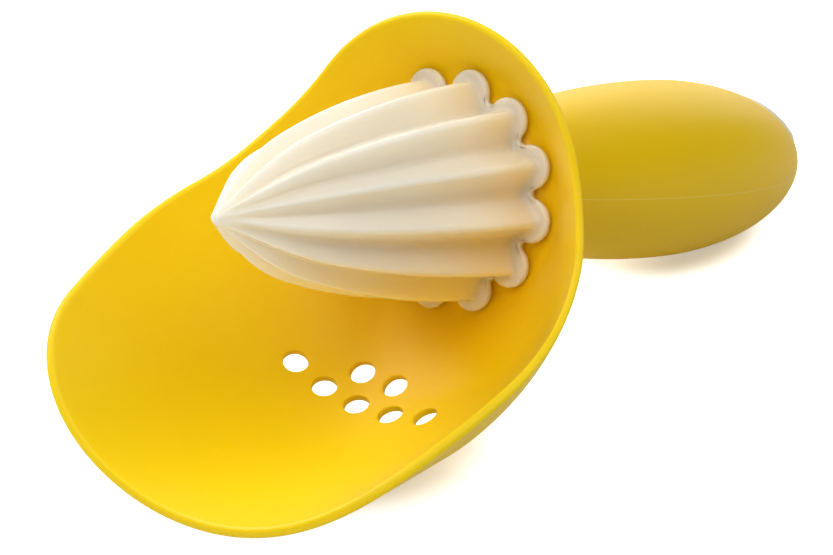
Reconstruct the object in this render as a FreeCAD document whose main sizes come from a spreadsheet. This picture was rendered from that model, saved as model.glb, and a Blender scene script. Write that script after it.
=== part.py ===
"""Hand-held citrus reamer with a pip-catching bowl, lying at rest on its bowl and handle.

The pieces are drawn in the reamer's own frame: X runs along the cone towards its tip, Y is across,
Z is up when the cone is level, and the origin is the middle of the flange's back face. The whole
tool is then tipped and lowered until the bowl's belly and the handle's underside both touch Z = 0.
"""
import FreeCAD, Part
import math
import os

import Sketcher
from FreeCAD import Placement, Rotation, Vector

doc = FreeCAD.newDocument("citrus_reamer")

# Driving dimensions, millimetres and degrees

SIZES = [
    ("ridge_count", 12, "ridges round the cone"),
    ("crest_radius", 20.0, "cone: ridge tops, at the flange"),
    ("valley_radius", 16.2, "cone: groove bottoms, at the flange"),
    ("crest_round", 1.0, "rounding of a ridge top, at the flange"),
    ("valley_round", 1.6, "rounding of a groove bottom, at the flange"),
    ("base_slope", 2.0, "slope of the ridge tops at the flange"),
    ("arch_radius", 175.0, "long arch of the cone"),
    ("arch_slope", 16.5, "slope where the long arch ends"),
    ("nose_slope", 34.2, "slope of the straight nose"),
    ("tip_round", 1.5, "ball on the blunted tip"),
    ("cone_length", 65.4, "flange back to the tip"),
    ("scallop_ring", 18.0, "circle through the scallops' middles"),
    ("scallop_round", 3.96, "radius of one scallop of the flange"),
    ("notch_round", 0.9, "rounding between two scallops"),
    ("flange_thick", 1.2, "thickness of the flange"),
    ("flange_edge", 0.5, "rounding of the flange's front edge"),
    ("head_wall", 2.4, "wall of the hollow cone"),
    ("boss_radius", 5.2, "screw boss inside the cone"),
    ("boss_reach", 40.0, "depth of the hollow in the cone"),
    ("boss_taper", 12.0, "length of the hollow's slanted end"),
    ("boss_foot", 6.0, "where the boss widens to the spigot"),
    ("spigot_width", 9.6, "square driving spigot behind the flange"),
    ("spigot_reach", 8.7, "length of that spigot"),
    ("pilot_depth", 12.0, "screw hole's depth inside the cone"),
    ("back_wall", 2.5, "flat back of the bowl, at the handle"),
    ("dish_wall", 1.4, "wall of the bowl from the seat to the strainer"),
    ("lip_wall", 1.9, "wall of the bowl at the pouring lip"),
    ("pad_radius", 17.3, "raised pad that carries the flange"),
    ("seat_bend", 7.0, "inner bend from the seat to the dish"),
    ("dish_start", 22.96, "radius of the dish level with the pad"),
    ("dish_angle", 49.1, "slope of the dish behind the cone"),
    ("dish_length", 13.8, "length of the dish's straight part from there"),
    ("shoulder_round", 21.65, "tight bend from dish to wall, inner face"),
    ("shoulder_angle", 35.6, "slope where the tight bend ends"),
    ("belly_round", 53.63, "long bend of the wall, inner face"),
    ("wall_angle", 11.4, "flare of the bell's last part"),
    ("bell_end", 64.0, "reach of the uncut bell"),
    ("rim_back", 6.4, "rim: upright part behind the cone"),
    ("rim_corner", 15.0, "rim: height where the bend starts"),
    ("rim_bend", 29.35, "rim: upper bend radius"),
    ("rim_slope", 32.3, "rim: slope of the sides"),
    ("rim_side", 33.6, "rim: length of the straight sides"),
    ("lip_bend", 29.8, "rim: lower bend radius at the lip"),
    ("rim_edge", 0.6, "rounding of the rim's two edges"),
    ("strainer_radius", 2.25, "strainer hole radius"),
    ("front_pitch", 11.3, "angle between two holes of the front row"),
    ("back_pitch", 12.4, "angle between the two holes of the back row"),
    ("row_front", 15.4, "front row of strainer holes"),
    ("row_back", 10.25, "back row of strainer holes"),
    ("handle_radius", 16.78, "handle at its thickest"),
    ("handle_middle", 62.7, "thickest place, behind the flange"),
    ("handle_nose", 65.0, "half length of the front half ovoid"),
    ("handle_tail", 46.4, "half length of the rear half ovoid"),
    ("handle_rise", 1.14, "handle axis above the cone axis, at the flange"),
    ("handle_droop", 1.6, "handle axis against the cone axis"),
    ("neck_plane", 12.0, "joint of bowl and handle, behind the flange"),
    ("neck_flare", 8.5, "bend from the neck to the bowl's back"),
    ("grip_wall", 2.2, "soft skin of the handle"),
    ("core_wall", 2.2, "wall of the handle's rigid core"),
    ("bulkhead_back", 16.0, "rear face of the core's bulkhead"),
    ("nose_gap", 0.35, "gap from core to the bowl's back"),
    ("insert_slope", 31.4, "slant of the end insert"),
    ("insert_length", 17.6, "end insert, along the slant"),
    ("insert_width", 13.0, "end insert, across"),
    ("insert_x", 100.5, "middle of the insert, behind the flange"),
    ("insert_z", 6.6, "middle of the insert, above the cone axis"),
    ("insert_depth", 2.4, "seat of the insert below its edge"),
    ("insert_proud", 0.4, "how far the insert stands out of the grip"),
    ("stem_radius", 2.0, "insert's locating stem"),
    ("stem_length", 2.5, "length of that stem"),
    ("screw_radius", 1.95, "screw shank"),
    ("screw_head", 3.6, "screw head radius"),
    ("head_height", 2.4, "screw head height"),
    ("head_round", 1.2, "rounding of the screw head"),
    ("screw_reach", 10.0, "screw's end, in front of the flange's back"),
    ("screw_point", 1.2, "radius of the screw's blunt end"),
    ("point_length", 1.0, "length of the screw's tapered end"),
    ("slot_width", 1.0, "driver slot in the screw head"),
    ("slot_depth", 1.1, "depth of that slot"),
    ("seat_recess", 0.4, "depth of the washer's seat"),
    ("seat_play", 0.3, "clearance round the washer"),
    ("washer_radius", 4.6, "washer radius"),
    ("washer_thick", 1.0, "washer thickness"),
    ("screw_play", 0.2, "clearance round the shank in core and washer"),
    ("seal_inner", 14.6, "sealing ring, inner radius"),
    ("seal_outer", 16.6, "sealing ring, outer radius"),
    ("seal_depth", 1.0, "sealing ring, thickness and groove depth"),
    ("fit_gap", 0.1, "clearance round the driving spigot"),
]

sheet = doc.addObject("Spreadsheet::Sheet", "Sizes")
for row, (alias, value, note) in enumerate(SIZES, start=1):
    sheet.set("A%d" % row, note)
    sheet.set("B%d" % row, str(value))
    sheet.setAlias("B%d" % row, alias)
doc.recompute()


def size(alias):
    """Value of one driving dimension, read from the sheet."""
    return float(sheet.get(alias))


# Small helpers for sketches

SAME_POINT = 1e-5
SAME_PLACE = 1e-3


def plane_of(body, role):
    """Origin plane of a body, such as XY_Plane."""
    return next(item for item in body.Origin.OriginFeatures if item.Role == role)


def new_body(name):
    """Empty body whose label names its file."""
    body = doc.addObject("PartDesign::Body", name)
    body.Label = name
    return body


def new_sketch(body, name, role, geometry, axis=None):
    """Sketch on an origin plane, with its neighbouring ends tied together."""
    sketch = body.newObject("Sketcher::SketchObject", name)
    sketch.AttachmentSupport = [(plane_of(body, role), "")]
    sketch.MapMode = "FlatFace"
    sketch.addGeometry(geometry, False)
    tie_ends(sketch, geometry)
    if axis is not None:
        sketch.addGeometry(axis, True)
    return sketch


def tie_ends(sketch, geometry):
    """Adds a coincident constraint wherever two pieces of an outline meet."""
    ends = []
    for index, item in enumerate(geometry):
        if hasattr(item, "StartPoint"):
            ends.append((index, 1, item.StartPoint))
            ends.append((index, 2, item.EndPoint))
    while ends:
        index, place, point = ends.pop()
        for other in ends:
            if other[0] != index and other[2].distanceToPoint(point) < SAME_POINT:
                tie = Sketcher.Constraint("Coincident", index, place, other[0], other[1])
                sketch.addConstraint(tie)
                ends.remove(other)
                break


def bind(sketch, kind, indices, expression, value):
    """Adds a driving constraint whose value is an expression of the sheet."""
    number = sketch.addConstraint(Sketcher.Constraint(kind, *indices, value))
    sketch.setExpression("Constraints[%d]" % number, expression)


def line(start, end):
    return Part.LineSegment(start, end)


def arc(centre, radius, start, end):
    """Counter-clockwise arc between two angles in radians."""
    return Part.ArcOfCircle(Part.Circle(centre, Vector(0, 0, 1), radius), start, end)


def polar(radius, angle):
    return Vector(radius * math.cos(angle), radius * math.sin(angle), 0)


def rectangle(low, high):
    """Four lines round a box in the sketch plane."""
    corners = [Vector(low[0], low[1], 0), Vector(high[0], low[1], 0),
               Vector(high[0], high[1], 0), Vector(low[0], high[1], 0)]
    return [line(corners[i], corners[(i + 1) % 4]) for i in range(4)]


def loop(points):
    """Closed outline of straight lines."""
    return [line(points[i], points[(i + 1) % len(points)]) for i in range(len(points))]


def circle(x, y, radius):
    return Part.Circle(Vector(x, y, 0), Vector(0, 0, 1), radius)


def revolve(body, name, sketch, axis="H_Axis", cut=False):
    """Full turn of a sketch about one of its axes, adding or cutting."""
    feature = body.newObject("PartDesign::Groove" if cut else "PartDesign::Revolution", name)
    feature.Profile = sketch
    feature.ReferenceAxis = (sketch, [axis])
    feature.Angle = 360
    return feature


def pad(body, name, sketch, expression, backwards=False):
    feature = body.newObject("PartDesign::Pad", name)
    feature.Profile = sketch
    feature.Reversed = backwards
    feature.setExpression("Length", expression)
    return feature


def pocket(body, name, sketch, expression=None, backwards=False):
    """Pocket of a given depth, or both ways through everything."""
    feature = body.newObject("PartDesign::Pocket", name)
    feature.Profile = sketch
    feature.Reversed = backwards
    if expression is None:
        feature.Type = "ThroughAll"
        feature.Midplane = True
    else:
        feature.setExpression("Length", expression)
    return feature


# Reamer head: twelve ridges on a pointed arch, a scalloped flange and a square spigot

RIDGES = int(size("ridge_count"))
HALF_PITCH = math.pi / RIDGES
BASE = size("crest_radius")
ARCH = size("arch_radius")
BASE_SLOPE = math.radians(size("base_slope"))
ARCH_SLOPE = math.radians(size("arch_slope"))
NOSE_SLOPE = math.radians(size("nose_slope"))
BALL = size("tip_round")
BALL_CENTRE = size("cone_length") - BALL

# The long arch ends here
ARCH_END_X = ARCH * (math.sin(ARCH_SLOPE) - math.sin(BASE_SLOPE))
ARCH_END_RADIUS = BASE - ARCH * (math.cos(BASE_SLOPE) - math.cos(ARCH_SLOPE))

# The straight nose runs into the tip ball here
NOSE_END_X = BALL_CENTRE + BALL * math.sin(NOSE_SLOPE)
NOSE_END_RADIUS = BALL * math.cos(NOSE_SLOPE)

# Between them, a tighter arch of the one radius that also meets the straight nose
GAP_X = NOSE_END_X - ARCH_END_X
GAP_RADIUS = ARCH_END_RADIUS - NOSE_END_RADIUS
TIGHT_ARCH = ((GAP_X * math.sin(NOSE_SLOPE) - GAP_RADIUS * math.cos(NOSE_SLOPE))
              / (1 - math.cos(NOSE_SLOPE - ARCH_SLOPE)))
TIGHT_END_X = ARCH_END_X + TIGHT_ARCH * (math.sin(NOSE_SLOPE) - math.sin(ARCH_SLOPE))


def arch_slope_at(x, radius, start_x, start_slope):
    """Slope at x of an arch of this radius that has start_slope at start_x."""
    return math.asin((x - start_x) / radius + math.sin(start_slope))


def ridge_radius(x):
    """Radius of the ridge tops: long arch, tighter arch and straight nose, all tangent."""
    if x < ARCH_END_X:
        slope = arch_slope_at(x, ARCH, 0, BASE_SLOPE)
        return BASE - ARCH * (math.cos(BASE_SLOPE) - math.cos(slope))
    if x < TIGHT_END_X:
        slope = arch_slope_at(x, TIGHT_ARCH, ARCH_END_X, ARCH_SLOPE)
        return ARCH_END_RADIUS - TIGHT_ARCH * (math.cos(ARCH_SLOPE) - math.cos(slope))
    return NOSE_END_RADIUS + (NOSE_END_X - x) * math.tan(NOSE_SLOPE)


def ridge_ring(scale):
    """Cross-section of the cone: rounded ridge tops and groove bottoms with tangent flanks."""
    top = size("crest_round") * scale
    bottom = size("valley_round") * scale
    crest = polar(BASE * scale - top, 0)
    valley = polar(size("valley_radius") * scale + bottom, HALF_PITCH)
    across = valley - crest
    flank = math.atan2(across.y, across.x) - math.acos((top + bottom) / across.Length)
    leave = crest + polar(top, flank)
    arrive = valley - polar(bottom, flank)
    outline = []
    for ridge in range(RIDGES):
        turn = 2 * HALF_PITCH * ridge
        spin = Rotation(Vector(0, 0, 1), math.degrees(turn))
        centre = spin.multVec(crest)
        groove = spin.multVec(valley)
        outline.append(arc(centre, top, turn - flank, turn + flank))
        outline.append(line(spin.multVec(leave), spin.multVec(arrive)))
        middle = turn + HALF_PITCH + math.pi
        spread = flank - HALF_PITCH
        outline.append(arc(groove, bottom, middle - spread, middle + spread))
        mirror = [Vector(point.x, -point.y, 0) for point in (arrive, leave)]
        onward = Rotation(Vector(0, 0, 1), math.degrees(turn + 2 * HALF_PITCH))
        outline.append(line(onward.multVec(mirror[0]), onward.multVec(mirror[1])))
    return outline


def scallop_ring():
    """Outline of the flange: convex scallops joined by small hollow notches."""
    lobe = size("scallop_round")
    notch = size("notch_round")
    ring = size("scallop_ring")
    half_gap = ring * math.sin(HALF_PITCH)
    notch_ring = ring * math.cos(HALF_PITCH) + math.sqrt((lobe + notch) ** 2 - half_gap ** 2)
    across = polar(notch_ring, HALF_PITCH) - polar(ring, 0)
    reach = math.atan2(across.y, across.x)
    outline = []
    for ridge in range(RIDGES):
        turn = 2 * HALF_PITCH * ridge
        outline.append(arc(polar(ring, turn), lobe, turn - reach, turn + reach))
        middle = turn + HALF_PITCH + math.pi
        spread = reach - HALF_PITCH
        hollow_centre = polar(notch_ring, turn + HALF_PITCH)
        outline.append(arc(hollow_centre, notch, middle - spread, middle + spread))
    return outline


head = new_body("reamer_head")
scallops = new_sketch(head, "scallops", "YZ_Plane", scallop_ring())
flange = pad(head, "flange", scallops, "Sizes.flange_thick")
doc.recompute()
front_edges = ["Edge%d" % (i + 1) for i, edge in enumerate(flange.Shape.Edges)
               if abs(edge.CenterOfMass.x - size("flange_thick")) < SAME_PLACE]
flange_edge = head.newObject("PartDesign::Fillet", "flange_edge")
flange_edge.Base = (flange, front_edges)
flange_edge.setExpression("Radius", "Sizes.flange_edge")

# Shares of the cone's length at which its section is drawn, closer where it bends more
STATIONS = [0.0, 0.15, 0.31, 0.46, 0.58, 0.67, 0.74, 0.81, 0.88, 0.94]
rings = []
for number, station in enumerate(STATIONS + [NOSE_END_X / size("cone_length")]):
    scale = ridge_radius(station * size("cone_length")) / BASE
    ring = new_sketch(head, "ridge_section_%d" % number, "YZ_Plane", ridge_ring(scale))
    ring.setExpression("AttachmentOffset.Base.z", "Sizes.cone_length * %.6f" % station)
    rings.append(ring)
ridges = head.newObject("PartDesign::AdditiveLoft", "ridges")
ridges.Profile = rings[0]
ridges.Sections = rings[1:]

ball = new_sketch(head, "tip_profile", "XZ_Plane",
                  [arc(Vector(BALL_CENTRE, 0, 0), BALL, 0, math.pi),
                   line(Vector(BALL_CENTRE - BALL, 0, 0), Vector(size("cone_length"), 0, 0))])
bind(ball, "Radius", [0], "Sizes.tip_round", BALL)
revolve(head, "tip_ball", ball)

half_spigot = size("spigot_width") / 2
spigot = new_sketch(head, "spigot_outline", "YZ_Plane",
                    rectangle((-half_spigot, -half_spigot), (half_spigot, half_spigot)))
pad(head, "spigot", spigot, "Sizes.spigot_reach", backwards=True)

# Hollow of the cone, round the screw boss; it stops where the boss would meet the wall
INNER_BASE = size("valley_radius") - size("head_wall")
diagonal = math.hypot(half_spigot, half_spigot)
hollow_end = size("boss_reach")
hollow_centre = Vector(-ARCH * math.sin(BASE_SLOPE), INNER_BASE - ARCH * math.cos(BASE_SLOPE), 0)
end_angle = math.pi / 2 - arch_slope_at(hollow_end, ARCH, 0, BASE_SLOPE)
hollow_corner = hollow_centre + polar(ARCH, end_angle)
boss = size("boss_radius")
boss_top = Vector(hollow_end - size("boss_taper"), boss, 0)
boss_foot = Vector(size("boss_foot"), boss, 0)
hollow = new_sketch(head, "hollow_profile", "XZ_Plane", [
    line(Vector(0, diagonal, 0), Vector(0, INNER_BASE, 0)),
    arc(hollow_centre, ARCH, end_angle, math.pi / 2 - BASE_SLOPE),
    line(hollow_corner, boss_top),
    line(boss_top, boss_foot),
    line(boss_foot, Vector(0, diagonal, 0)),
])
revolve(head, "hollow", hollow, cut=True)

# A cut runs this far past the face that it opens
BEYOND = 1.0
pilot_start = -size("spigot_reach") - BEYOND
pilot = new_sketch(head, "pilot_profile", "XZ_Plane",
                   rectangle((pilot_start, 0), (size("pilot_depth"), size("screw_radius"))))
bind(pilot, "DistanceY", [1, 1, 1, 2], "Sizes.screw_radius", size("screw_radius"))
revolve(head, "pilot_hole", pilot, cut=True)


# Bowl: a bell turned about the cone axis, cut to its swept rim, with a neck for the handle

BACK = size("back_wall")
THIN = size("dish_wall")
DISH = math.radians(size("dish_angle"))
SHOULDER = math.radians(size("shoulder_angle"))
FLARE = math.radians(size("wall_angle"))
CHANNEL = BACK - THIN


def outward(angle):
    """Unit normal of the bell's outer side where its wall slopes at this angle."""
    return polar(1, math.pi / 2 + angle)


# Both faces share the centre of the tight bend; the outer long bend is flatter, so the wall
# grows from the dish's thickness to the lip's
TIGHT_CENTRE = (Vector(0, size("dish_start"), 0) + polar(size("dish_length"), DISH)
                - outward(DISH) * size("shoulder_round"))
GROWTH = (size("lip_wall") - THIN) / (1 - math.cos(SHOULDER - FLARE))
OUTER_LONG = size("belly_round") + THIN + GROWTH


def bell_face(wall, long_round):
    """One face of the bell: bend from the flat seat, dish, two bends and flare."""
    bend = size("seat_bend") + wall
    first = size("shoulder_round") + wall
    dish_end = TIGHT_CENTRE + outward(DISH) * first
    bend_x = size("seat_bend") - CHANNEL
    bend_end_x = bend_x - bend * math.sin(DISH)
    bend_end = dish_end - polar(1, DISH) * ((dish_end.x - bend_end_x) / math.cos(DISH))
    bend_centre = bend_end - outward(DISH) * bend
    seat_edge = bend_centre - Vector(bend, 0, 0)
    long_centre = TIGHT_CENTRE - outward(SHOULDER) * (long_round - first)
    flare_start = long_centre + outward(FLARE) * long_round
    flare_run = (size("bell_end") - flare_start.x) / math.cos(FLARE)
    flare_end = flare_start + polar(flare_run, FLARE)
    face = [
        arc(bend_centre, bend, math.pi / 2 + DISH, math.pi),
        line(bend_end, dish_end),
        arc(TIGHT_CENTRE, first, math.pi / 2 + SHOULDER, math.pi / 2 + DISH),
        arc(long_centre, long_round, math.pi / 2 + FLARE, math.pi / 2 + SHOULDER),
        line(flare_start, flare_end),
    ]
    return seat_edge, face, flare_end, long_centre


# Handle: an ovoid of two half ellipses on an axis that droops a little from the cone axis

DROOP = math.radians(size("handle_droop"))


def on_handle(along, radius):
    """Point of the handle's sketch at a distance along its axis and from it."""
    origin = Vector(0, size("handle_rise"), 0)
    return origin + polar(along, DROOP) + polar(radius, DROOP + math.pi / 2)


def ovoid_angle(along, half, inset):
    """Angle on a half ellipse whose point lies at this place along the axis."""
    return math.acos((along + size("handle_middle")) / (size(half) - inset))


def ovoid_arc(half, inset, start, end):
    """Arc of the handle's profile, set in from the surface by inset."""
    middle = on_handle(-size("handle_middle"), 0)
    tip = on_handle(-size("handle_middle") + size(half) - inset, 0)
    top = on_handle(-size("handle_middle"), size("handle_radius") - inset)
    return Part.ArcOfEllipse(Part.Ellipse(tip, top, middle), start, end)


def ovoid_radius(along, inset):
    """Radius of the front half of the ovoid at a place along its axis."""
    return (size("handle_radius") - inset) * math.sin(ovoid_angle(along, "handle_nose", inset))


AXIS = [line(on_handle(-120, 0), on_handle(20, 0))]
NECK = -size("neck_plane")
TAIL = -size("handle_middle") - size("handle_tail")
GRIP = size("grip_wall")
SHELL = GRIP + size("core_wall")
NECK_OUTER = ovoid_radius(NECK, 0)
NECK_INNER = ovoid_radius(NECK, GRIP)

bowl = new_body("catcher_bowl")
inner_edge, inner_face, inner_end, inner_long = bell_face(0, size("belly_round"))
outer_edge, outer_face, outer_end, outer_long = bell_face(THIN, OUTER_LONG)
pad_top = Vector(0, size("pad_radius"), 0)
pad_foot = Vector(-CHANNEL, size("pad_radius"), 0)
bell = new_sketch(bowl, "bell_profile", "XZ_Plane", [
    line(Vector(0, 0, 0), pad_top),
    line(pad_top, pad_foot),
    line(pad_foot, inner_edge),
    *inner_face,
    line(inner_end, outer_end),
    *outer_face,
    line(outer_edge, Vector(-BACK, 0, 0)),
    line(Vector(-BACK, 0, 0), Vector(0, 0, 0)),
])
INNER_TIGHT_ARC = 5
bind(bell, "Radius", [INNER_TIGHT_ARC], "Sizes.shoulder_round", size("shoulder_round"))
revolve(bowl, "bell", bell)

wall_middle = -BACK / 2
neck = new_sketch(bowl, "neck_profile", "XZ_Plane", loop([
    on_handle(NECK, NECK_INNER),
    on_handle(NECK, NECK_OUTER),
    on_handle(wall_middle, NECK_OUTER),
    on_handle(wall_middle, NECK_INNER),
]), axis=AXIS)
collar = revolve(bowl, "neck", neck, axis="Axis0")
doc.recompute()


def on_back(edge):
    """True for the circle where the neck's outside meets the bowl's flat back."""
    radius = edge.Length / (2 * math.pi)
    return abs(edge.CenterOfMass.x + BACK) < SAME_PLACE and abs(radius - NECK_OUTER) < 0.1


neck_edges = ["Edge%d" % (i + 1) for i, edge in enumerate(collar.Shape.Edges) if on_back(edge)]
neck_blend = bowl.newObject("PartDesign::Fillet", "neck_blend")
neck_blend.Base = (collar, neck_edges)
neck_blend.setExpression("Radius", "Sizes.neck_flare")

# The swept rim, seen from the side: upright, bend, straight slope and the lip's bend
SLOPE = math.radians(size("rim_slope"))
LIP_STOP = math.radians(-35)
far = size("bell_end") * 1.5
bend_centre = Vector(size("rim_back") + size("rim_bend"), size("rim_corner"), 0)
slope_start = bend_centre + polar(size("rim_bend"), 1.5 * math.pi - SLOPE)
slope_end = slope_start + polar(size("rim_side"), -SLOPE)
lip_centre = slope_end - polar(size("lip_bend"), math.pi / 2 - SLOPE)
lip_end = lip_centre + polar(size("lip_bend"), LIP_STOP)
rim = new_sketch(bowl, "rim_outline", "XZ_Plane", [
    line(Vector(size("rim_back"), far, 0), Vector(size("rim_back"), size("rim_corner"), 0)),
    arc(bend_centre, size("rim_bend"), math.pi, 1.5 * math.pi - SLOPE),
    line(slope_start, slope_end),
    arc(lip_centre, size("lip_bend"), LIP_STOP, math.pi / 2 - SLOPE),
    line(lip_end, Vector(far, lip_end.y, 0)),
    line(Vector(far, lip_end.y, 0), Vector(far, far, 0)),
    line(Vector(far, far, 0), Vector(size("rim_back"), far, 0)),
])
bind(rim, "Radius", [1], "Sizes.rim_bend", size("rim_bend"))
bind(rim, "Radius", [3], "Sizes.lip_bend", size("lip_bend"))
rim_cut = pocket(bowl, "rim_cut", rim)
doc.recompute()


def cut_across(face):
    """True for a face of the rim's cut, which runs straight across the bowl."""
    if face.CenterOfMass.x < size("rim_back") - 0.1:
        return False
    if isinstance(face.Surface, Part.Cylinder):
        return abs(face.Surface.Axis.y) > 0.999
    return isinstance(face.Surface, Part.Plane)


def rim_edges(shape):
    """Names of the edges where the rim's cut meets the bell's two faces."""
    uses = {}
    for face in shape.Faces:
        for edge in face.Edges:
            uses.setdefault(edge.hashCode(), []).append(cut_across(face))
    return ["Edge%d" % (i + 1) for i, edge in enumerate(shape.Edges)
            if sorted(uses[edge.hashCode()]) == [False, True]]


rim_round = bowl.newObject("PartDesign::Fillet", "rim_round")
rim_round.Base = (rim_cut, rim_edges(rim_cut.Shape))
rim_round.setExpression("Radius", "Sizes.rim_edge")

hole_half = half_spigot + size("fit_gap")


def spigot_square():
    """Outline of the square hole that takes the spigot."""
    return rectangle((-hole_half, -hole_half), (hole_half, hole_half))


spigot_hole = new_sketch(bowl, "spigot_hole_outline", "YZ_Plane", spigot_square())
pocket(bowl, "spigot_hole", spigot_hole, "Sizes.back_wall * 1.5")

seal_low = (-size("seal_depth"), size("seal_inner"))
seal_groove = new_sketch(bowl, "seal_groove_profile", "XZ_Plane",
                         rectangle(seal_low, (BEYOND, size("seal_outer"))))
revolve(bowl, "seal_groove", seal_groove, cut=True)


def wall_slope(x):
    """Slope and place of the bell's inner face at x, in its two bends."""
    slope = math.asin((TIGHT_CENTRE.x - x) / size("shoulder_round"))
    if slope < SHOULDER:
        slope = math.asin((inner_long.x - x) / size("belly_round"))
        return slope, inner_long + outward(slope) * size("belly_round")
    return slope, TIGHT_CENTRE + outward(slope) * size("shoulder_round")


def strainer_hole(name, x, around):
    """One hole square to the wall, at an angle round the cone from straight down."""
    slope, place = wall_slope(x)
    spoke = Vector(0, math.sin(around), -math.cos(around))
    through = Vector(-math.sin(slope), 0, 0) + spoke * math.cos(slope)
    inside = Vector(place.x, 0, 0) + spoke * place.y - through * THIN
    hole = bowl.newObject("PartDesign::SubtractiveCylinder", name)
    hole.setExpression("Radius", "Sizes.strainer_radius")
    hole.setExpression("Height", "Sizes.dish_wall * 3")
    hole.Placement = Placement(inside, Rotation(Vector(0, 0, 1), through))


def strainer_row(name, count, x, pitch):
    """A row of holes, evenly spaced about the middle plane."""
    for place in range(count):
        strainer_hole("%s_%d" % (name, place), x, (place - (count - 1) / 2) * pitch)


strainer_row("front_hole", 5, size("row_front"), math.radians(size("front_pitch")))
strainer_row("back_hole", 2, size("row_back"), math.radians(size("back_pitch")))

# Sealing ring under the flange
seal = new_body("flange_seal")
seal_section = new_sketch(seal, "seal_section", "XZ_Plane",
                          rectangle(seal_low, (0, size("seal_outer"))))
revolve(seal, "seal_ring", seal_section)


# Handle core: two white half shells with a bulkhead for the screw, split level with the cone axis

def slanted_sketch(body, name, geometry):
    """Sketch on the floor of the end insert's seat, square to its slant."""
    slant = Rotation(Vector(0, 1, 0), -size("insert_slope"))
    edge_middle = Vector(-size("insert_x"), 0, size("insert_z"))
    floor = edge_middle - slant.multVec(Vector(0, 0, size("insert_depth")))
    sketch = new_sketch(body, name, "XY_Plane", geometry)
    sketch.AttachmentOffset = Placement(floor, slant)
    return sketch


def insert_oval():
    """Outline of the end insert."""
    return [Part.Ellipse(Vector(0, 0, 0), size("insert_length") / 2, size("insert_width") / 2)]


def half_core(name, upper):
    """One half of the core: ovoid shell, solid nose, spigot socket, screw hole and washer seat."""
    body = new_body(name)
    nose = -BACK - size("nose_gap")
    back = -size("bulkhead_back")
    play = size("screw_radius") + size("screw_play")
    back_radius = ovoid_radius(back, SHELL)
    outer_tail = TAIL + GRIP
    inner_tail = TAIL + SHELL
    shell = new_sketch(body, name + "_profile", "XZ_Plane", [
        line(on_handle(nose, 0), on_handle(nose, NECK_INNER)),
        line(on_handle(nose, NECK_INNER), on_handle(NECK, NECK_INNER)),
        ovoid_arc("handle_nose", GRIP, ovoid_angle(NECK, "handle_nose", GRIP), math.pi / 2),
        ovoid_arc("handle_tail", GRIP, math.pi / 2, math.pi),
        line(on_handle(outer_tail, 0), on_handle(inner_tail, 0)),
        ovoid_arc("handle_tail", SHELL, math.pi / 2, math.pi),
        ovoid_arc("handle_nose", SHELL, ovoid_angle(back, "handle_nose", SHELL), math.pi / 2),
        line(on_handle(back, back_radius), on_handle(back, 0)),
        line(on_handle(back, 0), on_handle(nose, 0)),
    ], axis=AXIS)
    revolve(body, name + "_shell", shell, axis="Axis0")
    split = new_sketch(body, name + "_split", "XY_Plane",
                       rectangle((TAIL, -size("handle_radius")), (0, size("handle_radius"))))
    pocket(body, name + "_other_half", split, "Sizes.handle_radius * 2", backwards=not upper)
    socket = new_sketch(body, name + "_socket", "YZ_Plane", spigot_square())
    pocket(body, name + "_spigot_socket", socket, "Sizes.spigot_reach + Sizes.nose_gap")
    hole = new_sketch(body, name + "_hole", "YZ_Plane", [circle(0, 0, play)])
    bind(hole, "Radius", [0], "Sizes.screw_radius + Sizes.screw_play", play)
    pocket(body, name + "_screw_hole", hole, "Sizes.bulkhead_back + Sizes.nose_gap")
    seat_corner = (back + size("seat_recess"), size("washer_radius") + size("seat_play"))
    seat = new_sketch(body, name + "_seat", "XZ_Plane", rectangle((back - BEYOND, 0), seat_corner))
    revolve(body, name + "_washer_seat", seat, cut=True)
    if upper:
        oval = slanted_sketch(body, name + "_insert_seat", insert_oval())
        pocket(body, name + "_insert_pocket", oval, "Sizes.insert_depth * 4", backwards=True)
        stem = slanted_sketch(body, name + "_stem_outline", [circle(0, 0, size("stem_radius"))])
        pocket(body, name + "_stem_hole", stem, "Sizes.stem_length + Sizes.seat_play")
    return body


core_upper = half_core("core_upper", True)
core_lower = half_core("core_lower", False)

# Soft grip moulded over the core, open at the slanted oval on its rear end
grip = new_body("handle_grip")
grip_profile = new_sketch(grip, "grip_profile", "XZ_Plane", [
    line(on_handle(NECK, NECK_INNER), on_handle(NECK, NECK_OUTER)),
    ovoid_arc("handle_nose", 0, ovoid_angle(NECK, "handle_nose", 0), math.pi / 2),
    ovoid_arc("handle_tail", 0, math.pi / 2, math.pi),
    line(on_handle(TAIL, 0), on_handle(TAIL + GRIP, 0)),
    ovoid_arc("handle_tail", GRIP, math.pi / 2, math.pi),
    ovoid_arc("handle_nose", GRIP, ovoid_angle(NECK, "handle_nose", GRIP), math.pi / 2),
], axis=AXIS)
revolve(grip, "grip_skin", grip_profile, axis="Axis0")
pocket(grip, "insert_window", slanted_sketch(grip, "window_outline", insert_oval()),
       "Sizes.insert_depth * 4", backwards=True)

# White end insert: an oval plug domed like the ovoid, a little proud of it, with a locating stem
insert = new_body("end_insert")
plug = slanted_sketch(insert, "plug_outline", insert_oval())
pad(insert, "oval_plug", plug, "Sizes.insert_depth * 3")
PROUD = size("insert_proud")
middle = -size("handle_middle")
behind = TAIL - size("insert_length")
above = size("handle_radius") * 2
trim_profile = new_sketch(insert, "dome_profile", "XZ_Plane", [
    ovoid_arc("handle_tail", -PROUD, math.pi / 2, math.pi),
    line(on_handle(TAIL - PROUD, 0), on_handle(behind, 0)),
    line(on_handle(behind, 0), on_handle(behind, above)),
    line(on_handle(behind, above), on_handle(middle, above)),
    line(on_handle(middle, above), on_handle(middle, size("handle_radius") + PROUD)),
], axis=AXIS)
revolve(insert, "dome_trim", trim_profile, axis="Axis0", cut=True)
pad(insert, "stem", slanted_sketch(insert, "stem_outline", [circle(0, 0, size("stem_radius"))]),
    "Sizes.stem_length", backwards=True)

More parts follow.
